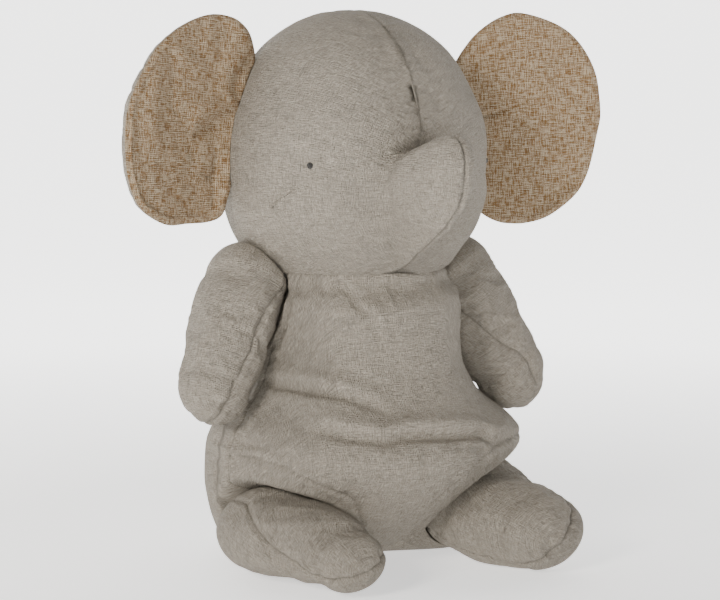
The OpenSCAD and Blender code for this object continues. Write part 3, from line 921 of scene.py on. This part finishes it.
seamAt = torso["sideSeam"]
body = {"Front": torsoPanel(-seamAt, seamAt, torso["frontCols"], (0, 500)),
        "BackLeft": torsoPanel(seamAt, 180, torso["backCols"], (500, 900)),
        "BackRight": torsoPanel(-180, -seamAt, torso["backCols"], (900, 0))}
shift = settle("torso", [p["g"] for p in body.values()], [False] * 3,
               [p["hold"] for p in body.values()], (60, 56))
owned = {"Front": ["torso_front_panel", "torso_stuffing", "neck_stuffing"],
         "BackLeft": ["torso_back_left_panel"], "BackRight": ["torso_back_right_panel"]}
neck = jointAt["neck_nod"]
neckBend = ("torso", "neck", neck - np.array([0, 0, 40.0]), neck - np.array([0, 0, 2.0]))
for (part, p), move in zip(body.items(), shift):
    p["g"] = p["g"] + move
    p["g"][..., 2] = np.maximum(p["g"][..., 2], 0.3)
    piece = makeMesh("torso" + part, p["g"], p["cut"], p["seam"], linen, flip=(p["out"] > 0))
    finishPiece(piece, None, owned[part], neckBend)

# the seat panel closes the bottom, its rim on the torso's lowest row
rim = np.concatenate([body[k]["g"][0][:-1] for k in ("Front", "BackLeft", "BackRight")])
share = np.linspace(0, 1, 22)[:, None, None]
centre = np.array([0, torsoMid[1] + 6, 0.5])
seat = centre + (rim - centre)[None] * share
seat[..., 2] = 0.5 + (rim[None, :, 2] - 0.5) * share[..., 0] ** 2.5
seatPiece = makeMesh("seatPanel", seat, seat[..., :2], 0 * seat[..., 0], linen, wrap=True)
finishPiece(seatPiece, "torso", ["seat_panel"])

# ladder stitches over the closing seam, each a short thread laid on the cloth
stitch = {"count": 8, "half": 2.6, "thread": 0.42, "lift": 0.3}
low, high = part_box("closing_stitches")
tubes = []
leftEdge, rightEdge = body["BackLeft"]["g"][:, ::-1], body["BackRight"]["g"]


def onEdge(panel, height, out):
    row = int(np.argmin(np.abs(panel[:, 0, 2] - height)))
    gone = np.linalg.norm(np.diff(panel[row, :30], axis=0), axis=1).cumsum()
    return panel[row, 1 + int(np.searchsorted(gone, out))]


for height in np.linspace(low[2] / mm, high[2] / mm, stitch["count"]):
    a, b = onEdge(leftEdge, height, stitch["half"]), onEdge(rightEdge, height, stitch["half"])
    t = np.linspace(0, 1, 12)[:, None]
    path = a * (1 - t) + b * t
    path[:, 1] += stitch["lift"] + 0.5 * np.sin(pi * t[:, 0])
    tubes.append(path)
say("torso")


# ears
ear = {"thickFront": 4.6, "thickBack": 6.2, "around": 240, "rings": 50}
earLine = {1: [(0, 43), (6, 51), (15, 61), (26, 69), (37, 74), (49, 76), (64, 72), (79, 65),
               (90, 56), (99, 43), (105, 28), (107, 12), (107, -3), (103, -18), (99, -32),
               (94, -45), (86, -57), (73, -67), (60, -73.5), (46, -76), (35, -75.5), (26, -73.5),
               (16, -68), (6, -58), (2, -42), (-2, -22), (-3, 0), (-8, 22), (-8, 36)],
           -1: [(-17, 42), (-9, 60), (2, 70), (12, 73.5), (26, 73.5), (42, 69), (62, 59),
                (79, 46), (91, 30), (99, 14), (102, -2), (101, -21), (98, -38), (90, -53),
                (78, -62), (58, -68.5), (38, -67.5), (18, -66), (7, -61), (3, -49), (0, -36),
                (-2, -20), (-3, -4), (-8, 12), (-15, 27)]}
earFolds = {1: [([(-4, 1), (10, 1.5), (24, 5), (40, 8)], 1.3, 1.5, 0.9),
                ([(2, -14), (16, -26), (28, -44)], 8.0, 1.6, 0.7),
                ([(70, 44), (84, 14), (80, -24)], 12.0, 1.2, 0.5)],
            -1: [([(-4, 10), (8, 4), (18, 0), (28, -4), (38, -8)], 4.6, 3.6, 3.6),
                 ([(10, -20), (14, -38), (12, -54)], 6.0, 1.8, 0.8),
                 ([(34, -14), (40, -34), (38, -54)], 9.0, 1.3, 0.7),
                 ([(-8, 46), (0, 34), (4, 18)], 5.0, 2.6, 1.6),
                 ([(84, 34), (92, 4), (84, -34)], 6.0, 1.2, 0.6),
                 ([(56, 44), (62, 16), (58, -18)], 12.0, 1.2, 0.5)]}
earWords = {1: "left", -1: "right"}


def earPanel(side, face):
    # flat outline, a mid surface bent by given waves, and a padded thickness
    outline = catmull(earLine[side], ear["around"], closed=True)
    mid = np.array([48.0, 0.0])
    rho = np.sin(np.linspace(0, 1, ear["rings"]) * pi / 2)
    flat = mid + rho[:, None, None] * (outline - mid)[None]
    u, v = flat[..., 0], flat[..., 1]
    r = np.broadcast_to(rho[:, None], u.shape)
    bend = (15 if side < 0 else 3) * step((u + 10) / 150) ** 1.2 + 2.6 * (v / 70) ** 2
    bend = bend + (5.0 if side < 0 else 2.0) * np.exp(-((u + 2) / 14) ** 2)
    deep = (1 - r) * 50
    front = ear["thickFront"] * np.sqrt(1 - np.exp(-deep / 10)) + 2.0 * np.exp(-deep / 5)
    behind = -ear["thickBack"] * np.sqrt(1 - np.exp(-deep / 5.5)) + 2.0 * np.exp(-deep / 5)
    puff = front if face > 0 else behind
    at = jointAt[f"ear_{earWords[side]}_swing"]
    hinge = jointAxis[f"ear_{earWords[side]}_swing"]
    hinge = hinge * np.sign(hinge[2])
    sweepOut = math.radians(17)
    out = np.array([side * math.cos(sweepOut), -math.sin(sweepOut), 0.0])
    out = unit(out - hinge * (out @ hinge))
    ahead = unit(np.cross(out, hinge))
    ahead = ahead * (-np.sign(ahead[1]))
    g = at + u[..., None] * out + v[..., None] * hinge + bend[..., None] * ahead
    n = normals(g, wrap=True)
    n = n * np.sign(np.sum(n * ahead, axis=-1)).mean()
    run = length(g, 0)
    dist = run[-1:] - run
    ring = np.arange(ear["around"])[None] * 2.0 + 0 * dist
    move = lumps(g + 300, 90 + side) * 1.0
    for path, wide, depth, lip in earFolds[side]:
        move = move + crease(flat, path, wide, depth, lip)
    joined = step(dist / 4)
    move = move + puff + 0.35 * face * pucker(ring, dist, 6.0, 9.0, 95) * joined
    move = move + face * (groove(dist, 0.6, 1.3) + 0.3) * joined
    g = g + n * move[..., None]
    # the root is sewn flat against the side of the head
    for _ in range(40):
        g = g + 0.6 * out * inHead(g, 1.0)[..., None]
    cut = flat * np.array([side, 1.0]) + np.array([200.0, 200.0])
    sense = np.sign(np.sum(normals(g, wrap=True)[4:-4] * ahead * face, axis=-1)).mean()
    hold = np.maximum(np.clip(1 - dist / 6, 0, 1), 1.0 * (u < 12))
    return {"g": g, "dist": dist, "cut": cut, "sense": sense, "hold": hold, "out": out, "at": at}


for side, word in earWords.items():
    parts = [earPanel(side, face) for face in (1, -1)]
    parts[1]["g"][-1] = parts[0]["g"][-1]
    shift = settle("ear" + word.title(), [p["g"] for p in parts], [True, True],
                   [p["hold"] for p in parts], (26, 90), 0.6)
    for p, move, facing, nodes, cloth, slotName in (
            (parts[0], shift[0], "Front", [f"ear_{word}_front", f"ear_{word}_wadding"], earWeave,
             "ear_weave"),
            (parts[1], shift[1], "Back", [f"ear_{word}_back"], linen, "linen")):
        # painted shade along the rim seam, in the groove where front and back meet
        piece = makeMesh(f"ear{word.title()}{facing}", p["g"] + move, p["cut"],
                         0.5 * np.exp(-((p["dist"] / 0.7) ** 2)), cloth, wrap=True,
                         flip=(p["sense"] > 0))
        finishPiece(piece, None, nodes,
                    ("head", f"ear_{word}", p["at"] - p["out"] * 4.0, p["at"] + p["out"] * 22.0))
say("ears")


# knotted thread eyes, stitches and tail
def tubeGrid(path, radius, sides=8):
    path = np.array(path, float)
    tangent = unit(np.gradient(path, axis=0))
    a = unit(np.cross(tangent, np.array([0.3, 0.2, 0.93])))
    b = np.cross(tangent, a)
    phi = np.linspace(0, 2 * pi, sides, endpoint=False)
    g = (path[:, None] + radius * (np.cos(phi)[None, :, None] * a[:, None]
                                   + np.sin(phi)[None, :, None] * b[:, None]))
    g[0], g[-1] = path[0], path[-1]
    return g, np.stack([np.broadcast_to(phi[None], g.shape[:2]), length(g, 0)], -1)


knot = {"turns": 5.0, "radius": 1.7, "thread": 0.6, "points": 240}
for side, word in ((1, "left"), (-1, "right")):
    at = eyePlace(side)
    outward = unit((at - headMid) * np.array([1.1, 1.0, 1.0]))
    s = np.linspace(0, 1, knot["points"])
    # a ball of yarn: a helix whose own axis slowly turns
    a1, a2 = s * 2 * pi * knot["turns"], s * 2 * pi * 1.37
    ball = np.stack([np.cos(a1) * np.cos(a2), np.cos(a1) * np.sin(a2), np.sin(a1)], -1)
    size = knot["radius"] * (0.85 + 0.15 * np.sin(7 * s * pi))
    path = at - outward * 0.9 + ball * size[:, None]
    g, cut = tubeGrid(path, knot["thread"])
    piece = makeMesh(f"eye{word.title()}", g, cut, 0 * g[..., 0], thread, wrap=True)
    finishPiece(piece, "head", [f"eye_{word}"])

joinedTubes = []
for i, path in enumerate(tubes):
    g, cut = tubeGrid(path, stitch["thread"])
    joinedTubes.append(makeMesh(f"stitch{i}", g, cut, 0 * g[..., 0], paleThread, wrap=True))
with bpy.context.temp_override(active_object=joinedTubes[0], object=joinedTubes[0],
                               selected_editable_objects=joinedTubes,
                               selected_objects=joinedTubes):
    bpy.ops.object.join()
joinedTubes[0].name = "closingStitches"
finishPiece(joinedTubes[0], "torso", ["closing_stitches"])

low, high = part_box("tail")
tailTop = jointAt["tail_lift"]
tailEnd = np.array([0, high[1] / mm - 4.4, low[2] / mm + 4.4])
tail = {"r1": 5.5, "r2": 4.6, "rows": 80, "around": 40, "span": np.linalg.norm(tailEnd - tailTop)}
d, right, up = limbFrame(tailEnd - tailTop, np.array([1.0, 0, 0]))
turn = np.linspace(0, pi / 2, 14)
s = np.concatenate([-tail["r1"] * np.cos(turn), np.linspace(0, tail["span"], tail["rows"])[1:-1],
                    tail["span"] + tail["r2"] * np.sin(turn)])
share = np.concatenate([np.sin(turn), np.ones(tail["rows"] - 2), np.cos(turn)])
radius = share * np.interp(s, [0, tail["span"]], [tail["r1"], tail["r2"]])
phi = np.linspace(0, 2 * pi, tail["around"], endpoint=False)
around = np.cos(phi)[None, :, None] * right + np.sin(phi)[None, :, None] * up
g = tailTop + d * s[:, None, None] + radius[:, None, None] * around
dist = np.abs((phi[None] - pi) * 5) + 0 * g[..., 0]
swell = 0.3 * noise(g, 6, 7) + groove(dist, 0.6, 0.7) * share[:, None]
g = g + around * (swell * share[:, None])[..., None]
cut = np.stack([phi[None] * 5 + 0 * dist, s[:, None] + 0 * dist], -1)
# painted shade along the tail's seam groove
tailPiece = makeMesh("tailTube", g, cut, np.exp(-((dist / 0.6) ** 2)), linen, wrap=True)
finishPiece(tailPiece, "tail", ["tail"])
say("small parts")


# stage, light and camera
def sweep():
    # a floor that curves up into a wall behind
    y = np.concatenate([np.linspace(-8.0, 1.6, 12),
                        1.6 + 1.2 * np.sin(np.linspace(0, pi / 2, 16))[1:], [2.8, 2.8]])
    z = np.concatenate([np.zeros(12), 1.2 - 1.2 * np.cos(np.linspace(0, pi / 2, 16))[1:],
                        [2.5, 4.0]])
    x = np.array([-8.0, 8.0])
    g = np.stack(np.broadcast_arrays(x[None, :], y[:, None], z[:, None]), -1) / mm
    turn = math.radians(-28)
    c, s = math.cos(turn), math.sin(turn)
    g = g @ np.array([[c, s, 0], [-s, c, 0], [0, 0, 1]])
    material = bpy.data.materials.new("paper")
    material.use_nodes = True
    shader = material.node_tree.nodes["Principled BSDF"]
    shader.inputs["Base Color"].default_value = linear("f4f3f1")
    shader.inputs["Roughness"].default_value = 0.9
    shader.inputs["Emission Color"].default_value = linear("ffffff")
    # painted light: the paper glows more the farther it is from the toy, like a lit white backdrop,
    # and less near the toy, so the shade around it stays
    tree = material.node_tree
    where = add(tree, "ShaderNodeTexCoord").outputs["Object"]
    far = add(tree, "ShaderNodeVectorMath", {0: where}, operation="LENGTH").outputs["Value"]
    glow = add(tree, "ShaderNodeMapRange", {0: far, 1: 0.3, 2: 1.2, 3: 0.9, 4: 2.4}).outputs[0]
    tree.links.new(glow, shader.inputs["Emission Strength"])
    floor = makeMesh("floor", g, np.zeros(g.shape[:2] + (2,)), np.zeros(g.shape[:2]), material)


sweep()


def lamp(name, at, target, size, power, tint):
    data = bpy.data.lights.new(name, "AREA")
    data.shape, data.size, data.energy = "DISK", size, power
    data.color = linear(tint)[:3]
    made = bpy.data.objects.new(name, data)
    made.location = at
    made.rotation_mode = "QUATERNION"
    made.rotation_quaternion = (Vector(target) - Vector(at)).to_track_quat("-Z", "Y")
    bpy.context.scene.collection.objects.link(made)


middle = (0, 0, 0.19)
lamp("key", (-1.6, -1.0, 0.85), middle, 0.55, 34, "fff9f1")
lamp("front", (-0.9, -1.9, 0.3), middle, 0.9, 15, "fffdf8")
lamp("top", (-0.5, 0.6, 1.7), middle, 1.2, 5, "ffffff")
world = bpy.data.worlds.new("studio")
world.use_nodes = True
world.node_tree.nodes["Background"].inputs[0].default_value = linear("f6f7f9")
world.node_tree.nodes["Background"].inputs[1].default_value = 0.22
bpy.context.scene.world = world

view = {"azimuth": -28.0, "elevation": 5.0, "away": 1.5, "aim": (0.0, 0.0, 0.204),
        "lens": 107.1, "shiftX": 0.011, "shiftY": -0.05}
a, e = math.radians(view["azimuth"]), math.radians(view["elevation"])
back = Vector((math.sin(a) * math.cos(e), -math.cos(a) * math.cos(e), math.sin(e)))
camera = bpy.data.objects.new("camera", bpy.data.cameras.new("camera"))
camera.data.lens, camera.data.sensor_width = view["lens"], 36.0
camera.data.shift_x, camera.data.shift_y = view["shiftX"], view["shiftY"]
camera.location = Vector(view["aim"]) + back * view["away"]
camera.rotation_mode = "QUATERNION"
camera.rotation_quaternion = (-back).to_track_quat("-Z", "Y")
bpy.context.scene.collection.objects.link(camera)
bpy.context.scene.camera = camera

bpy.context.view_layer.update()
say("finish")
